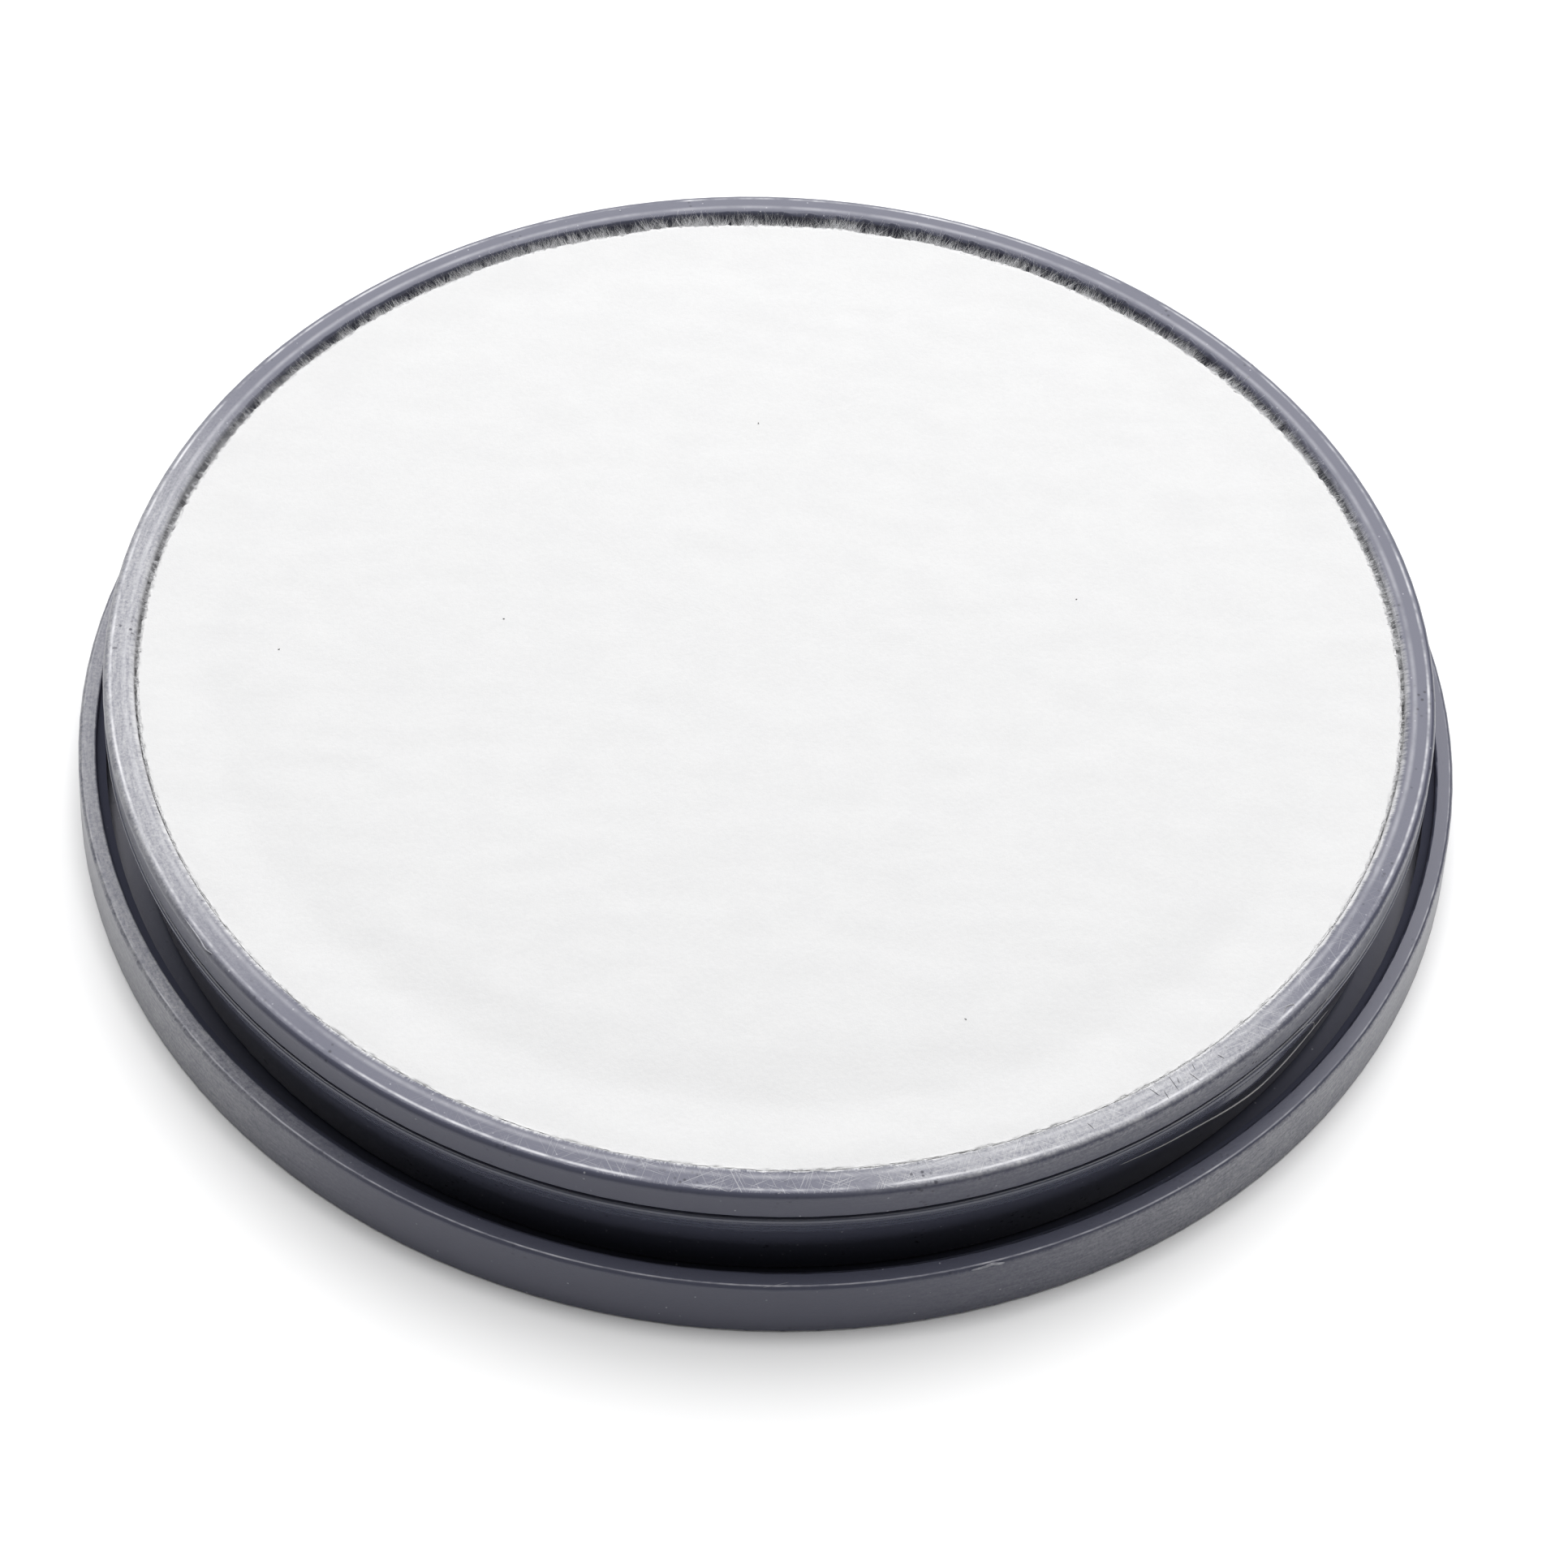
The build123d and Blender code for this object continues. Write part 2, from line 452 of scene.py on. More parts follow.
def dent_pores(piece, count, radius, depth, seed):
    """Pushes round dents of mixed sizes into a mesh, each along the skin's own normal."""
    draw = np.random.default_rng(seed)
    total = len(piece.data.vertices)
    places = np.empty(total * 3)
    piece.data.vertices.foreach_get("co", places)
    places = places.reshape(-1, 3)
    normals = np.empty(total * 3)
    piece.data.vertex_normals.foreach_get("vector", normals)
    normals = normals.reshape(-1, 3)
    push = np.zeros(total)
    for middle in places[draw.integers(0, total, count)]:
        size = radius * draw.lognormal(-0.3, 0.45)
        near = np.where(np.abs(places[:, 0] - middle[0]) < size)[0]
        gap = np.linalg.norm(places[near] - middle, axis=1) / size
        inside = near[gap < 1]
        push[inside] = np.maximum(push[inside], depth * (1 - gap[gap < 1] ** 2) * size / radius)
    places -= normals * np.clip(push, 0, 2 * depth)[:, None]
    piece.data.vertices.foreach_set("co", places.ravel())
    piece.data.update()
    print(f"{piece.name}: {count} pores, {np.count_nonzero(push)} of {total} points moved")


dent_pores(sponge, SPONGE_PORES, PORE_RADIUS, PORE_DEPTH, seed=31)

# %% [markdown]
# ## The sealing band
#
# The band is thin elastic, with fine ribs that run round it. It was stretched over the collar, and at the
# front right it has come partly off its seat: there it bulges out and down. Its section is a rounded bead
# above a face that leans inward, so the bead catches the light and the face stays dark. A lathe modifier
# could turn that section, but it can't bulge, so the section is repeated along the turn with the bulge.

# %% Turn the band, with ribs and a lifted place
BAND_AROUND = 900
BAND_RIBS = 3
BAND_THICKNESS = 0.88 * MM
FACE_TOP = 0.7
RIB_HEIGHT = 0.015 * MM
FACE_LEAN = 0.26 * MM
BULGE_DIRECTION = 315.0
BULGE_HALF_WIDTH = 4.6
BULGE_DROP = 0.42 * MM
BULGE_OUT = 0.16 * MM
BULGE_HOLLOW = 0.3 * MM

band_radius = band_high.x
band_height = band_high.z - band_low.z
band_turn = np.linspace(0, 2 * np.pi, BAND_AROUND, endpoint=False)
bulge = bump_at(band_turn, BULGE_DIRECTION, BULGE_HALF_WIDTH)
ripple = wander(band_turn, range(5, 60, 5), seed=41)

section = [(0.0, 0.02)]
for share in np.linspace(0.03, FACE_TOP, 34):
    rib = RIB_HEIGHT / BAND_THICKNESS * (0.5 + 0.5 * math.cos(2 * math.pi * BAND_RIBS * share / FACE_TOP))
    lean = FACE_LEAN / BAND_THICKNESS * (FACE_TOP - share) / FACE_TOP
    section.append((0.95 - lean - rib * smooth_step(share, 0.02, 0.1), share))
for share in np.linspace(0, 1, 12):
    swing = (share - 0.5) * math.pi
    section.append((0.9 + 0.1 * max(0, math.cos(swing)) ** 0.25, 0.74 + 0.24 * share))
section.append((0.0, 1.0))

radii_rows = []
height_rows = []
for outward_share, upward_share in section:
    lower_part = 1 - upward_share
    hollow = BULGE_HOLLOW * math.exp(-((upward_share - 0.42) / 0.2) ** 2)
    out = BAND_THICKNESS * (outward_share - 1) + outward_share * bulge * (BULGE_OUT * lower_part - hollow)
    down = bulge * BULGE_DROP * lower_part + 0.012 * MM * ripple
    radii_rows.append(band_radius + out)
    height_rows.append(band_low.z + 0.03 * MM + 0.97 * band_height * upward_share - down)
band_radii = np.array(radii_rows)
band_heights = np.array(height_rows)
band_points = np.stack(
    [band_radii * np.cos(band_turn), band_radii * np.sin(band_turn), band_heights], axis=-1
).reshape(-1, 3)
band = make_piece("elastic_band", band_points, ring_faces(len(section), BAND_AROUND, closed=True))
print(f"band: {band_height / MM:.2f} mm high, {BAND_RIBS} ribs")

# %% [markdown]
# ## Stray strands, hairs, burrs and specks
#
# Handling leaves small marks: moulding strands on the lifted band, dark hairs on the rim, a burr on the
# lid's edge and specks on the felt. Each strand is a thin tube along a few points, given as direction in
# degrees, radius and height in millimetres. They are pieces of geometry, so they catch light and shade.

# %% A tapered tube along a smooth path
STRAND_SIDES = 6
STRAND_STEPS = 14
STRAND_TIP = 0.2


def round_point(degrees, radius, height):
    """A place from its direction round the axis, its radius and its height above the table."""
    turn = math.radians(degrees)
    return np.array([radius * MM * math.cos(turn), radius * MM * math.sin(turn), height * MM])


def strand(name, stations, width):
    """A tube through stations of (direction, radius, height), thinner towards both ends."""
    corners = np.array([round_point(*station) for station in stations])
    padded = np.vstack([2 * corners[0] - corners[1], corners, 2 * corners[-1] - corners[-2]])
    spine = []
    for number in range(len(corners) - 1):
        before, here, there, beyond = padded[number:number + 4]
        for share in np.linspace(0, 1, STRAND_STEPS, endpoint=False):
            spine.append(0.5 * (
                2 * here + (there - before) * share
                + (2 * before - 5 * here + 4 * there - beyond) * share ** 2
                + (3 * here - before - 3 * there + beyond) * share ** 3
            ))
    spine = np.array(spine + [corners[-1]])
    ahead = np.gradient(spine, axis=0)
    ahead /= np.linalg.norm(ahead, axis=1, keepdims=True)
    across = np.cross(ahead, [0.05, 0.02, 1.0])
    across /= np.linalg.norm(across, axis=1, keepdims=True)
    upward = np.cross(across, ahead)
    along = np.linspace(-1, 1, len(spine))
    half_width = width * MM / 2 * (STRAND_TIP + (1 - STRAND_TIP) * np.sqrt(np.clip(1 - along ** 2, 0, 1)))
    rings = []
    for side in range(STRAND_SIDES):
        swing = 2 * math.pi * side / STRAND_SIDES
        rings.append(spine + half_width[:, None] * (across * math.cos(swing) + upward * math.sin(swing)))
    points = np.stack(rings, axis=1).reshape(-1, 3)
    last = (len(spine) - 1) * STRAND_SIDES
    ends = []
    for side in range(1, STRAND_SIDES - 1):
        ends.append((0, side, side + 1))
        ends.append((last, last + side + 1, last + side))
    quads = ring_faces(len(spine), STRAND_SIDES, closed=False)[:, ::-1]
    return make_piece(name, points, quads, ends)

# %% Lay the strands and hairs
SPECK_PLACES = [(18.15, 4.63), (-29.08, -2.66), (-16.06, 0.67), (11.6, -27.01), (-1.59, 18.2)]

band_edge = band_low.z / MM
rim_top = rim_height / MM
mouth_top = mouth_height / MM
light_strands = [
    strand("band_lip", [
        (301, 39.5, band_edge + 0.05), (305, 39.56, band_edge), (309, 39.62, band_edge - 0.08),
        (312, 39.68, band_edge - 0.3), (315, 39.72, band_edge - 0.4), (318, 39.68, band_edge - 0.24),
        (321, 39.6, band_edge), (325, 39.52, band_edge + 0.1),
    ], 0.09),
    strand("curl_long", [
        (317.5, 39.5, band_edge + 1.5), (319.6, 39.56, band_edge + 1.75), (321.4, 39.62, band_edge + 1.5),
        (322.3, 39.66, band_edge + 0.9), (321.8, 39.7, band_edge + 0.3),
    ], 0.035),
    strand("curl_short", [
        (324.6, 39.54, 8.9), (324.2, 39.58, 8.4), (323.2, 39.62, 7.9), (322.0, 39.66, 7.5),
    ], 0.03),
    strand("rim_curl", [
        (318.6, 38.9, rim_top), (319.3, 38.75, rim_top + 0.04),
        (319.9, 38.95, rim_top + 0.02), (319.4, 39.1, rim_top),
    ], 0.03),
]
dark_hairs = []
draw = np.random.default_rng(51)
for number, (direction, inner, outer) in enumerate((
    (304.7, 38.0, 38.7), (305.6, 38.5, 39.1), (306.8, 37.9, 38.9), (307.3, 38.2, 38.6), (308.4, 38.4, 39.1),
    (309.2, 38.0, 38.4), (298.4, 38.3, 38.8), (311.5, 38.4, 38.8),
)):
    lean = draw.uniform(-0.35, 0.35)
    top = rim_top + 0.005
    dark_hairs.append(strand(f"rim_hair_{number}", [
        (direction, inner, top), (direction + lean * 0.55, (inner + outer) / 2, top + 0.02),
        (direction + lean, outer, top),
    ], 0.022))
lid_burr = strand("lid_burr", [
    (287.5, 41.52, mouth_top - 0.08), (288.4, 41.53, mouth_top - 0.04),
    (289.1, 41.49, mouth_top + 0.02), (289.6, 41.54, mouth_top - 0.02),
    (290.1, 41.52, mouth_top - 0.08),
], 0.17)
lid_sliver = strand("lid_sliver", [
    (271.8, 41.42, mouth_top - 0.02), (272.6, 41.3, mouth_top), (273.7, 41.08, mouth_top),
], 0.03)
rim_burr = strand("rim_burr", [
    (216.0, 39.3, rim_top - 0.05), (218.5, 39.33, rim_top - 0.03),
    (219.6, 39.42, rim_top - 0.02), (220.4, 39.3, rim_top - 0.05),
], 0.1)
specks = []
for number, (x, y) in enumerate(SPECK_PLACES):
    direction, radius = math.degrees(math.atan2(y, x)), math.hypot(x, y)
    top = membrane_height(radius * MM, 0) / MM + 0.01
    specks.append(strand(f"felt_speck_{number}", [
        (direction, radius, top), (direction + 0.12, radius + 0.05, top + 0.02),
        (direction + 0.1, radius + 0.11, top),
    ], 0.07))
print(f"{len(light_strands)} strands, {len(dark_hairs)} hairs, {len(specks)} specks")

# %% [markdown]
# ## Helpers for materials
#
# Each finish is a Principled shader fed by a few shared node groups. These helpers keep the cells short.

# %% Node helpers
def add_node(tree, kind, **settings):
    """A new node with its settings."""
    made = tree.nodes.new(kind)
    for name, value in settings.items():
        setattr(made, name, value)
    return made


def feed(tree, target, value):
    """Links a socket to target, or sets target's own value."""
    if isinstance(value, bpy.types.NodeSocket):
        tree.links.new(value, target)
    else:
        target.default_value = value


def calculate(tree, operation, first, second=0.0, third=0.0, clamp=False):
    """A Math node's result."""
    made = add_node(tree, "ShaderNodeMath", operation=operation, use_clamp=clamp)
    for slot, value in zip(made.inputs, (first, second, third)):
        feed(tree, slot, value)
    return made.outputs[0]


def fade(tree, value, low, high):
    """0 below low and 1 above high, with a smooth change between."""
    made = add_node(tree, "ShaderNodeMapRange", interpolation_type="SMOOTHSTEP")
    feed(tree, made.inputs["Value"], value)
    feed(tree, made.inputs["From Min"], low)
    feed(tree, made.inputs["From Max"], high)
    return made.outputs["Result"]


def fade_out(tree, value, low, high):
    """1 below low and 0 above high, with a smooth change between."""
    return calculate(tree, "SUBTRACT", 1.0, fade(tree, value, low, high))


def multiply(tree, first, second):
    """The product of two values."""
    return calculate(tree, "MULTIPLY", first, second)


def noise(tree, coordinates, scale, detail=2.0, roughness=0.5):
    """A noise texture's value."""
    made = add_node(tree, "ShaderNodeTexNoise")
    feed(tree, made.inputs["Vector"], coordinates)
    feed(tree, made.inputs["Scale"], scale)
    feed(tree, made.inputs["Detail"], detail)
    feed(tree, made.inputs["Roughness"], roughness)
    return made.outputs["Fac"]


def tint(tree, mask, first, second):
    """First where mask is 0, second where it is 1."""
    made = add_node(tree, "ShaderNodeMix", data_type="RGBA")
    feed(tree, made.inputs["Factor"], mask)
    feed(tree, made.inputs["A"], first)
    feed(tree, made.inputs["B"], second)
    return made.outputs["Result"]


def new_group(name, inputs, outputs):
    """A shader node group with (name, default) value inputs and value outputs, and both rows of sockets."""
    group = bpy.data.node_groups.new(name, "ShaderNodeTree")
    for socket_name, default in inputs:
        socket = group.interface.new_socket(socket_name, in_out="INPUT", socket_type="NodeSocketFloat")
        socket.default_value = default
    for socket_name in outputs:
        group.interface.new_socket(socket_name, in_out="OUTPUT", socket_type="NodeSocketFloat")
    given = group.nodes.new("NodeGroupInput").outputs
    result = group.nodes.new("NodeGroupOutput").inputs
    return group, given, result


def place_group(tree, group, **values):
    """A group in a material, with its own values."""
    made = add_node(tree, "ShaderNodeGroup", node_tree=group)
    for name, value in values.items():
        feed(tree, made.inputs[name.replace("_", " ").title()], value)
    return made.outputs


def new_material(name):
    """A material, its node tree and its Principled shader."""
    material = bpy.data.materials.new(name)
    material.use_nodes = True
    return material, material.node_tree, material.node_tree.nodes["Principled BSDF"]


def object_place(tree):
    """Coordinates in metres, in the palette's own frame."""
    return add_node(tree, "ShaderNodeTexCoord").outputs["Object"]


def combine(tree, x, y, z=0.0):
    """Three values as coordinates."""
    made = add_node(tree, "ShaderNodeCombineXYZ")
    for slot, value in zip(made.inputs, (x, y, z)):
        feed(tree, slot, value)
    return made.outputs[0]


def round_place(tree):
    """(radius, angle, height) of the shaded point, from its place in the palette's frame."""
    parts = add_node(tree, "ShaderNodeSeparateXYZ")
    tree.links.new(object_place(tree), parts.inputs[0])
    across = multiply(tree, parts.outputs["X"], parts.outputs["X"])
    along = multiply(tree, parts.outputs["Y"], parts.outputs["Y"])
    radius = calculate(tree, "SQRT", calculate(tree, "ADD", across, along))
    angle = calculate(tree, "ARCTAN2", parts.outputs["Y"], parts.outputs["X"])
    return radius, angle, parts.outputs["Z"]


def facing(tree, angle, direction, half_width, even=0.0):
    """1 in one direction, falling to 0 at half_width degrees from it, from the share even onwards."""
    middle = calculate(tree, "RADIANS", direction)
    off = calculate(tree, "WRAP", calculate(tree, "SUBTRACT", angle, middle), math.pi, -math.pi)
    reach = calculate(tree, "RADIANS", half_width)
    return fade_out(tree, calculate(tree, "ABSOLUTE", off), multiply(tree, reach, even), reach)

# %% [markdown]
# ## Shared effects
#
# ** Moulded grain** is the slight orange peel of injection-moulded plastic, with scattered pits; the plastic paints shade into the pits.
# ** Dust** is fine light specks that settle on it. **Rubbed edge and painted highlight** follows a circular
# edge, given by its radius and height, and breaks up along it: a pale line that is partly wear and partly a
# painted highlight on the edge's rounding. **Dried film and painted sheen** is pale haze in one direction
# round the rim, left by water that dried; on the walls it is mixed with a painted reflection of the floor.
# **Cross scratches** are short scratches in several directions. **Wall lint** is white fluff from the felt
# that clings to the wall beside it, thickest in front. **Hairlines** run round the piece.

# %% Group: moulded grain
def moulded_grain_group():
    group, given, result = new_group("Moulded grain", [("Fineness", 1.0), ("Pits", 0.3)], ["Height", "Pit"])
    place = object_place(group)
    coarse = noise(group, place, multiply(group, given["Fineness"], 2200.0), 3.0)
    fine = noise(group, place, multiply(group, given["Fineness"], 9000.0), 2.0)
    cells = add_node(group, "ShaderNodeTexVoronoi", feature="F1")
    group.links.new(place, cells.inputs["Vector"])
    feed(group, cells.inputs["Scale"], 2300.0)
    closeness = fade_out(group, cells.outputs["Distance"], 0.14, 0.3)
    chosen = fade(group, noise(group, place, 300.0), 0.52, 0.7)
    pit = multiply(group, multiply(group, closeness, chosen), given["Pits"])
    grain = calculate(group, "MULTIPLY_ADD", fine, 0.45, multiply(group, coarse, 0.55))
    feed(group, result["Height"], calculate(group, "SUBTRACT", grain, pit))
    feed(group, result["Pit"], pit)
    return group


moulded_grain = moulded_grain_group()

# %% Group: dust
def dust_group():
    group, given, result = new_group("Dust", [("Amount", 0.5)], ["Speck"])
    place = object_place(group)
    cells = add_node(group, "ShaderNodeTexVoronoi", feature="F1")
    group.links.new(place, cells.inputs["Vector"])
    feed(group, cells.inputs["Scale"], 2600.0)
    dot = fade_out(group, cells.outputs["Distance"], 0.08, 0.2)
    parts = add_node(group, "ShaderNodeSeparateColor")
    group.links.new(cells.outputs["Color"], parts.inputs[0])
    limit = calculate(group, "SUBTRACT", 1.0, multiply(group, given["Amount"], 0.5))
    chosen = fade(group, parts.outputs[0], limit, calculate(group, "ADD", limit, 0.08))
    feed(group, result["Speck"], multiply(group, dot, chosen))
    return group


dust = dust_group()

# %% Group: rubbed edge
def rubbed_edge_and_highlight_group():
    # A pale line round a circular edge: partly wear, partly a painted highlight on the edge's rounding.
    inputs = [("Edge Radius", 0.04), ("Edge Height", 0.01), ("Width", 0.0002), ("Breaks", 0.5)]
    group, given, result = new_group("Rubbed edge and painted highlight", inputs, ["Mask"])
    radius, _, height = round_place(group)
    off_radius = calculate(group, "SUBTRACT", radius, given["Edge Radius"])
    off_height = calculate(group, "SUBTRACT", height, given["Edge Height"])
    across = multiply(group, off_radius, off_radius)
    gap = calculate(group, "SQRT", calculate(group, "MULTIPLY_ADD", off_height, off_height, across))
    near = fade_out(group, gap, 0.0, given["Width"])
    broken = noise(group, object_place(group), 260.0, 4.0, 0.7)
    unbroken = fade(group, broken, multiply(group, given["Breaks"], 0.6), 0.75)
    feed(group, result["Mask"], multiply(group, near, unbroken))
    return group


rubbed_edge_and_highlight = rubbed_edge_and_highlight_group()

# %% Group: dried film
def film_and_painted_sheen_group():
    # Pale patches in one direction: dried film, and on the walls also painted reflection of the white
    # floor.
    inputs = [
        ("Direction", 180.0), ("Half Width", 20.0), ("Level", 0.01), ("Depth", 0.0006), ("Cover", 0.5),
        ("Outside Radius", 0.0),
    ]
    group, given, result = new_group("Dried film and painted sheen", inputs, ["Mask"])
    radius, angle, height = round_place(group)
    window = facing(group, angle, given["Direction"], given["Half Width"], even=0.3)
    below = calculate(group, "SUBTRACT", given["Level"], height)
    near = fade_out(group, below, 0.0, given["Depth"])
    beyond = calculate(group, "SUBTRACT", radius, given["Outside Radius"])
    near = multiply(group, near, fade(group, beyond, -0.05 * MM, 0.03 * MM))
    across = multiply(group, calculate(group, "ADD", radius, height), 5000.0)
    streaks = noise(group, combine(group, multiply(group, angle, 30.0), across), 1.0, 4.0, 0.65)
    grains = noise(group, object_place(group), 5200.0, 4.0, 0.7)
    cloud = noise(group, object_place(group), 380.0, 3.0, 0.6)
    texture = calculate(group, "MULTIPLY_ADD", streaks, 1.3, multiply(group, grains, 1.7))
    texture = calculate(group, "MULTIPLY_ADD", cloud, 0.3, texture)
    texture = calculate(group, "ADD", texture, calculate(group, "SUBTRACT", given["Cover"], 1.65))
    mask = calculate(group, "MULTIPLY", multiply(group, window, near), texture, clamp=True)
    feed(group, result["Mask"], mask)
    return group


film_and_painted_sheen = film_and_painted_sheen_group()

# %% Group: cross scratches
def cross_scratch_group():
    inputs = [("Direction", 300.0), ("Half Width", 20.0), ("Level", 0.0098)]
    group, given, result = new_group("Cross scratches", inputs, ["Mask"])
    _, angle, height = round_place(group)
    window = facing(group, angle, given["Direction"], given["Half Width"])
    below = calculate(group, "SUBTRACT", given["Level"], height)
    window = multiply(group, window, calculate(group, "LESS_THAN", below, 0.03 * MM))
    total = 0.0
    for number, degrees in enumerate((18, 63, 105, 152)):
        turned = add_node(group, "ShaderNodeVectorRotate", rotation_type="Z_AXIS")
        group.links.new(object_place(group), turned.inputs["Vector"])
        turned.inputs["Angle"].default_value = math.radians(degrees)
        drawn = add_node(group, "ShaderNodeMapping")
        group.links.new(turned.outputs[0], drawn.inputs["Vector"])
        drawn.inputs["Scale"].default_value = (330, 15000, 100)
        drawn.inputs["Location"].default_value = (7.3 * number, 3.1 * number, 0)
        line = fade(group, noise(group, drawn.outputs[0], 1.0, 1.0), 0.63, 0.7)
        total = calculate(group, "MAXIMUM", total, line)
    feed(group, result["Mask"], multiply(group, total, window))
    return group


cross_scratches = cross_scratch_group()

# %% Group: lint on the wall
def wall_lint_group():
    inputs = [("Inside Radius", 0.038), ("Top", 0.0097), ("Depth", 0.0005)]
    group, given, result = new_group("Wall lint", inputs, ["Mask"])
    radius, angle, height = round_place(group)
    gap = calculate(group, "SUBTRACT", given["Inside Radius"], radius)
    inside = fade(group, gap, 0.0, 0.25 * MM)
    below = calculate(group, "SUBTRACT", given["Top"], height)
    share = calculate(group, "DIVIDE", below, given["Depth"])
    stretched = combine(group, multiply(group, angle, 260.0), multiply(group, height, 1600.0))
    tufts = noise(group, stretched, 1.0, 5.0, 0.7)
    where = noise(group, object_place(group), 190.0, 3.0)
    level = calculate(group, "MULTIPLY_ADD", where, 1.3, multiply(group, tufts, 1.6))
    level = calculate(group, "SUBTRACT", calculate(group, "ADD", level, share), 1.25)
    in_front = fade_out(group, calculate(group, "SINE", angle), -0.4, 0.7)
    cover = multiply(group, fade(group, level, 0.0, 0.7), inside)
    cover = multiply(group, cover, in_front)
    feed(group, result["Mask"], cover)
    return group


wall_lint = wall_lint_group()

# %% Group: hairlines
def hairline_group():
    group, given, result = new_group("Hairlines", [("Amount", 0.5)], ["Mask"])
    radius, angle, height = round_place(group)
    across = multiply(group, radius, 9000.0)
    upward = multiply(group, height, 9000.0)
    streaks = noise(group, combine(group, multiply(group, angle, 3.0), across, upward), 1.0, 2.0)
    where = noise(group, object_place(group), 120.0, 2.0)
    limit = calculate(group, "SUBTRACT", 0.92, multiply(group, given["Amount"], 0.3))
    lines = fade(group, streaks, limit, calculate(group, "ADD", limit, 0.1))
    feed(group, result["Mask"], multiply(group, lines, fade(group, where, 0.4, 0.65)))
    return group


hairlines = hairline_group()
print("groups:", [group.name for group in bpy.data.node_groups])

# %% [markdown]
# ## Slate plastic
#
# The tub and the lid are moulded in the same dark blue-grey plastic. By itself it is nearly black: the
# greys come from what its satin surface reflects, and from pale colour painted on as highlights along the
# edges and as the floor's reflection on the walls. The material is made by one function, and each piece
# gets its own worn and highlit edges, its own share of film and painted sheen, and dust.

# %% Make the slate plastic
SLATE = (0.064, 0.067, 0.096, 1)
SLATE_SHEEN = (0.93, 0.92, 1.0, 1)
# Pale colour of worn edges, which also serves as their painted highlight.
RUBBED_AND_HIGHLIGHT_PALE = (0.62, 0.62, 0.64, 1)
# Pale colour of dried film and scratches, and on the walls a painted reflection of the floor.
PALE_MARKS_AND_PAINTED_SHEEN = (0.58, 0.58, 0.58, 1)
DUST_GREY = (0.42, 0.42, 0.45, 1)
LINT_WHITE = (0.55, 0.55, 0.56, 1)
PIT_PAINTED_SHADE = (0.02, 0.02, 0.03, 1)


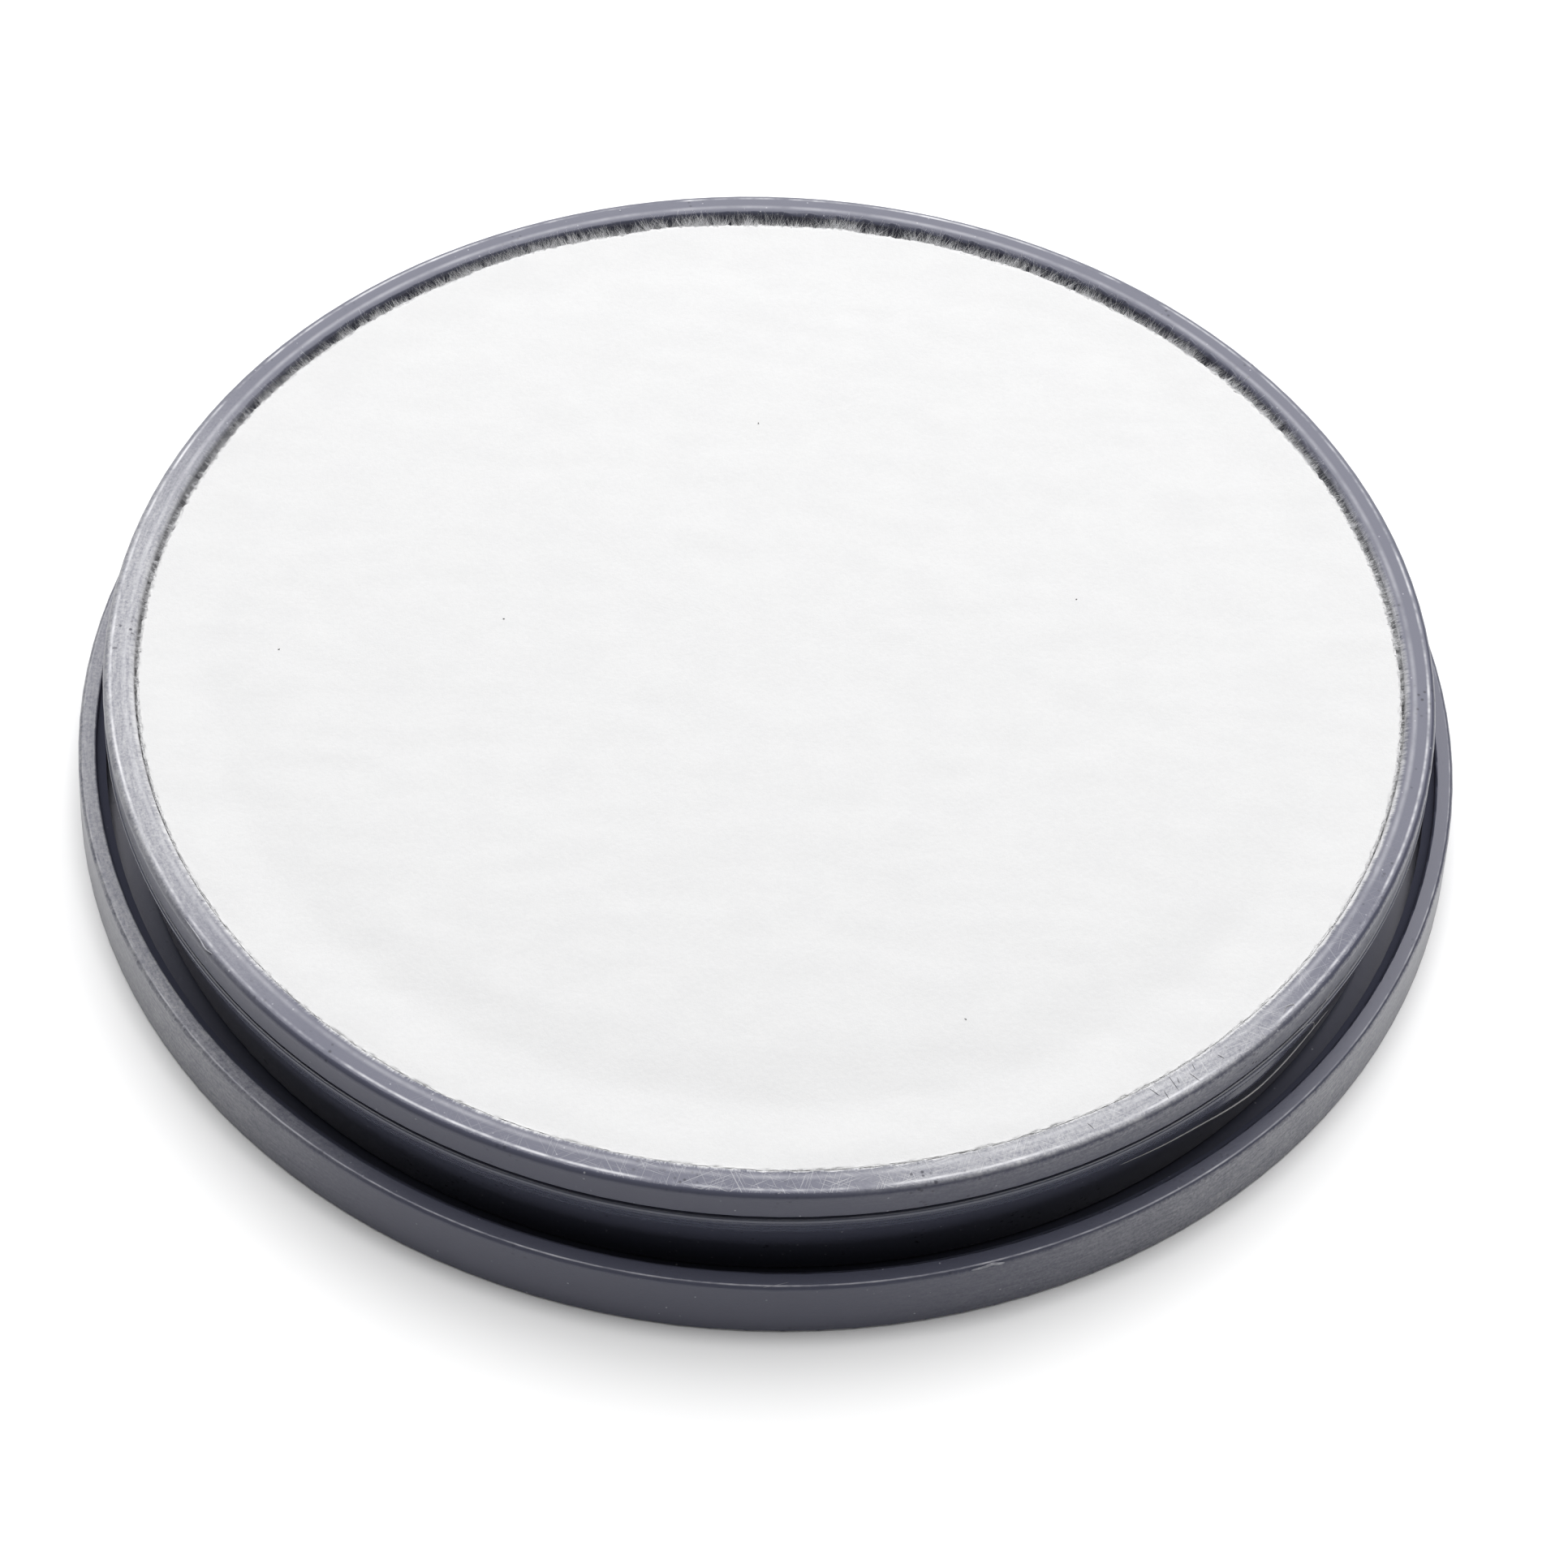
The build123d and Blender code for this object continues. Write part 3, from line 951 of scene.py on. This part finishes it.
def slate_plastic(name, edges, film_and_sheen_patches, dust_amount, pits, roughness, scratched=None, linted=None):
    """Satin slate plastic.

    edges give (radius, height, width, breaks, strength) of pale lines that are wear with a painted
    highlight;
    the film patches give (direction, half width, level, depth, cover, outside radius) of dried film, mixed
    on the walls with painted reflection of the floor; scratched is (direction, half width, level) and
    linted is (inside radius, top, depth). Directions and half widths are in degrees, and the rest in
    metres.
    """
    material, tree, shader = new_material(name)
    shader.inputs["IOR"].default_value = 1.5
    shader.inputs["Specular Tint"].default_value = SLATE_SHEEN

    grain = place_group(tree, moulded_grain, fineness=1.0, pits=pits)
    specks = place_group(tree, dust, amount=dust_amount)["Speck"]
    lines = place_group(tree, hairlines, amount=0.45)["Mask"]
    colour = tint(tree, multiply(tree, lines, 0.25), SLATE, DUST_GREY)
    # Dried film on the rim's top; on the lid's sides and the collar the patches also paint the floor's
    # reflection.
    film_and_sheen_total = 0.0
    for direction, half_width, level, depth, cover, outside_radius in film_and_sheen_patches:
        film = place_group(tree, film_and_painted_sheen, direction=direction, half_width=half_width, level=level,
                           depth=depth, cover=cover, outside_radius=outside_radius)["Mask"]
        film_and_sheen_total = calculate(tree, "MAXIMUM", film_and_sheen_total, film)
    colour = tint(tree, multiply(tree, film_and_sheen_total, 0.6), colour, PALE_MARKS_AND_PAINTED_SHEEN)
    if scratched:
        direction, half_width, level = scratched
        crossed = place_group(
            tree, cross_scratches, direction=direction, half_width=half_width, level=level
        )["Mask"]
        colour = tint(tree, multiply(tree, crossed, 0.45), colour, PALE_MARKS_AND_PAINTED_SHEEN)
        lines = calculate(tree, "MAXIMUM", lines, crossed)
    colour = tint(tree, multiply(tree, specks, 0.6), colour, DUST_GREY)
    # Pits darkened towards black: painted shade in the hollows.
    colour = tint(tree, calculate(tree, "MULTIPLY", grain["Pit"], 1.2, clamp=True), colour, PIT_PAINTED_SHADE)
    # Pale edge lines: wear, and a painted highlight on each edge's rounding.
    rub_and_highlight_total = 0.0
    for edge_radius, edge_height, width, breaks, strength in edges:
        rub_and_highlight = place_group(tree, rubbed_edge_and_highlight, edge_radius=edge_radius, edge_height=edge_height, width=width,
                          breaks=breaks)["Mask"]
        rub_and_highlight_total = calculate(tree, "MAXIMUM", rub_and_highlight_total, multiply(tree, rub_and_highlight, strength))
    colour = tint(tree, rub_and_highlight_total, colour, RUBBED_AND_HIGHLIGHT_PALE)
    dull = calculate(tree, "MULTIPLY_ADD", specks, 0.2, roughness)
    dull = calculate(tree, "MULTIPLY_ADD", film_and_sheen_total, 0.15, dull)
    if linted:
        inside_radius, top, depth = linted
        lint = place_group(tree, wall_lint, inside_radius=inside_radius, top=top, depth=depth)["Mask"]
        colour = tint(tree, lint, colour, LINT_WHITE)
        dull = calculate(tree, "MULTIPLY_ADD", lint, 0.5, dull)
    tree.links.new(colour, shader.inputs["Base Color"])
    dull = calculate(tree, "MULTIPLY_ADD", grain["Pit"], 0.3, dull, clamp=True)
    tree.links.new(dull, shader.inputs["Roughness"])

    bump = add_node(tree, "ShaderNodeBump")
    bump.inputs["Distance"].default_value = 0.012 * MM
    bump.inputs["Strength"].default_value = 0.8
    height = calculate(tree, "MULTIPLY_ADD", specks, 0.8, grain["Height"])
    height = calculate(tree, "SUBTRACT", height, multiply(tree, lines, 0.5))
    tree.links.new(height, bump.inputs["Height"])
    tree.links.new(bump.outputs["Normal"], shader.inputs["Normal"])
    return material


# The rim's outer edge and a line near its bore: pale wear, with a painted highlight on each.
rim_edge = (rim_radius - 0.46 * MM, rim_height, 0.13 * MM, 0.55, 1.0)
bore_edge = (rim_radius - 1.28 * MM, rim_height, 0.24 * MM, 0.2, 0.3)
tub_plastic = slate_plastic(
    "slate_tub",
    edges=[rim_edge, bore_edge],
    film_and_sheen_patches=[
        (190.0, 44.0, rim_height, 0.5 * MM, 0.6, 0.0),
        (300.0, 27.0, rim_height, 0.2 * MM, 0.6, 0.0),
        # The collar's front right: haze mixed with painted reflection of the floor.
        (330.0, 60.0, rim_height, 3.0 * MM, 0.2, rim_radius - 0.1 * MM),
    ],
    dust_amount=0.3,
    pits=0.8,
    roughness=0.3,
    scratched=(290.0, 60.0, rim_height),
    linted=(rim_radius - 1.45 * MM, rim_height, 0.5 * MM),
)
# The mouth's outer edge: pale wear, with a painted highlight.
mouth_edge = (lid_radius - 0.5 * MM, mouth_height - 0.02 * MM, 0.08 * MM, 0.6, 0.7)
lid_plastic = slate_plastic(
    "slate_lid",
    edges=[mouth_edge],
    # The lid's sides: dried film mixed with painted reflection of the white floor.
    film_and_sheen_patches=[
        (200.0, 46.0, mouth_height, 20.0 * MM, 0.45, lid_radius - 1.28 * MM),
        (340.0, 66.0, mouth_height, 20.0 * MM, 0.35, lid_radius - 0.36 * MM),
    ],
    dust_amount=0.15,
    pits=0.3,
    roughness=0.3,
)
for node_name, material in (("tub", tub_plastic), ("lid", lid_plastic)):
    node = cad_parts[node_name]
    node.data.materials.clear()
    node.data.materials.append(material)
    print(f"{node_name}: finished in {material.name}")

# %% [markdown]
# ## Felt, fibres, sponge and band
#
# Felt is matt and white, with a mottle of matted fibres that is only just visible. The loose fibres are
# paler, and light passes through them, so that they don't darken each other. The sponge is a warmer white
# with fine pores. The band is the tub's colour, but smoother.

# %% A material with a mottle
def soft_material(name, light, shade, scale, bump_distance, roughness, gloss):
    """A material whose colour and height follow the same mottle."""
    material, tree, shader = new_material(name)
    shader.inputs["Roughness"].default_value = roughness
    shader.inputs["Specular IOR Level"].default_value = gloss
    place = object_place(tree)
    mottle = noise(tree, place, scale, 6.0, 0.65)
    cloud = noise(tree, place, scale * 0.12, 3.0)
    mixed = calculate(tree, "MULTIPLY_ADD", cloud, 0.4, multiply(tree, mottle, 0.6))
    tree.links.new(tint(tree, fade(tree, mixed, 0.35, 0.65), light, shade), shader.inputs["Base Color"])
    bump = add_node(tree, "ShaderNodeBump")
    bump.inputs["Distance"].default_value = bump_distance
    tree.links.new(mottle, bump.inputs["Height"])
    tree.links.new(bump.outputs["Normal"], shader.inputs["Normal"])
    return material

# %% Give the soft pieces and the strands their materials
# (name, light tone, dark tone, mottle scale, bump in millimetres, roughness, gloss, pieces)
SOFT_LOOKS = [
    ("felt_white", (0.595, 0.595, 0.597, 1), (0.575, 0.575, 0.578, 1), 3200.0, 0.02, 0.95, 0.25,
     [membrane]),
    ("fibre_white", (0.9, 0.9, 0.92, 1), (0.82, 0.82, 0.85, 1), 6000.0, 0.005, 0.8, 0.25, [fuzz]),
    ("sponge_cellulose", (0.58, 0.56, 0.5, 1), (0.44, 0.41, 0.33, 1), 1500.0, 0.12, 0.9, 0.25, [sponge]),
    ("band_elastic", (0.068, 0.073, 0.104, 1), (0.084, 0.088, 0.118, 1), 2500.0, 0.006, 0.25, 0.55, [band]),
    ("strand_pale", (0.42, 0.41, 0.4, 1), (0.3, 0.3, 0.31, 1), 4000.0, 0.004, 0.35, 0.25, light_strands),
    ("hair_dark", (0.03, 0.03, 0.035, 1), (0.07, 0.07, 0.08, 1), 4000.0, 0.004, 0.5, 0.25, dark_hairs),
    ("speck_grey", (0.2, 0.2, 0.2, 1), (0.3, 0.3, 0.3, 1), 9000.0, 0.004, 0.8, 0.25, specks),
    ("burr_grey", (0.36, 0.36, 0.39, 1), (0.2, 0.2, 0.23, 1), 4000.0, 0.01, 0.4, 0.25,
     [lid_burr, lid_sliver, rim_burr]),
]

for name, light, shade, scale, bump_height, roughness, gloss, pieces in SOFT_LOOKS:
    material = soft_material(name, light, shade, scale, bump_height * MM, roughness, gloss)
    for piece in pieces:
        piece.data.materials.append(material)
    print(f"{name}: on {len(pieces)} pieces")

# %% Let light through the fibres
fibre_shader = bpy.data.materials["fibre_white"].node_tree.nodes["Principled BSDF"]
fibre_shader.inputs["Subsurface Weight"].default_value = 0.9
fibre_shader.inputs["Subsurface Radius"].default_value = (1, 1, 1)
fibre_shader.inputs["Subsurface Scale"].default_value = 0.3 * MM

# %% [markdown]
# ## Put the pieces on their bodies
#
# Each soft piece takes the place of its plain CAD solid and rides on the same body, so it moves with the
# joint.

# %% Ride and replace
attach(membrane, "membrane")
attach(fuzz, "membrane")
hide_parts("palette_membrane")
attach(sponge, "sponge")
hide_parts("reservoir_sponge")
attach(band, "tub")
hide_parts("sealing_band")

for piece in light_strands + dark_hairs + [rim_burr]:
    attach(piece, "tub")
for piece in (lid_burr, lid_sliver):
    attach(piece, "lid")
for piece in specks:
    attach(piece, "membrane")

# %% [markdown]
# ## The table
#
# A plain white floor, wide enough that its edge is never seen.

# %% Lay the floor
FLOOR_SIZE = 4.0
FLOOR_WHITE = (0.95, 0.95, 0.95, 1)

half = FLOOR_SIZE / 2
floor = make_piece(
    "floor", [(-half, -half, 0), (half, -half, 0), (half, half, 0), (-half, half, 0)], [(0, 1, 2, 3)]
)
floor_material, _, floor_shader = new_material("floor_white")
floor_shader.inputs["Base Color"].default_value = FLOOR_WHITE
floor_shader.inputs["Roughness"].default_value = 0.9
floor_shader.inputs["Specular IOR Level"].default_value = 0.1
floor.data.materials.append(floor_material)
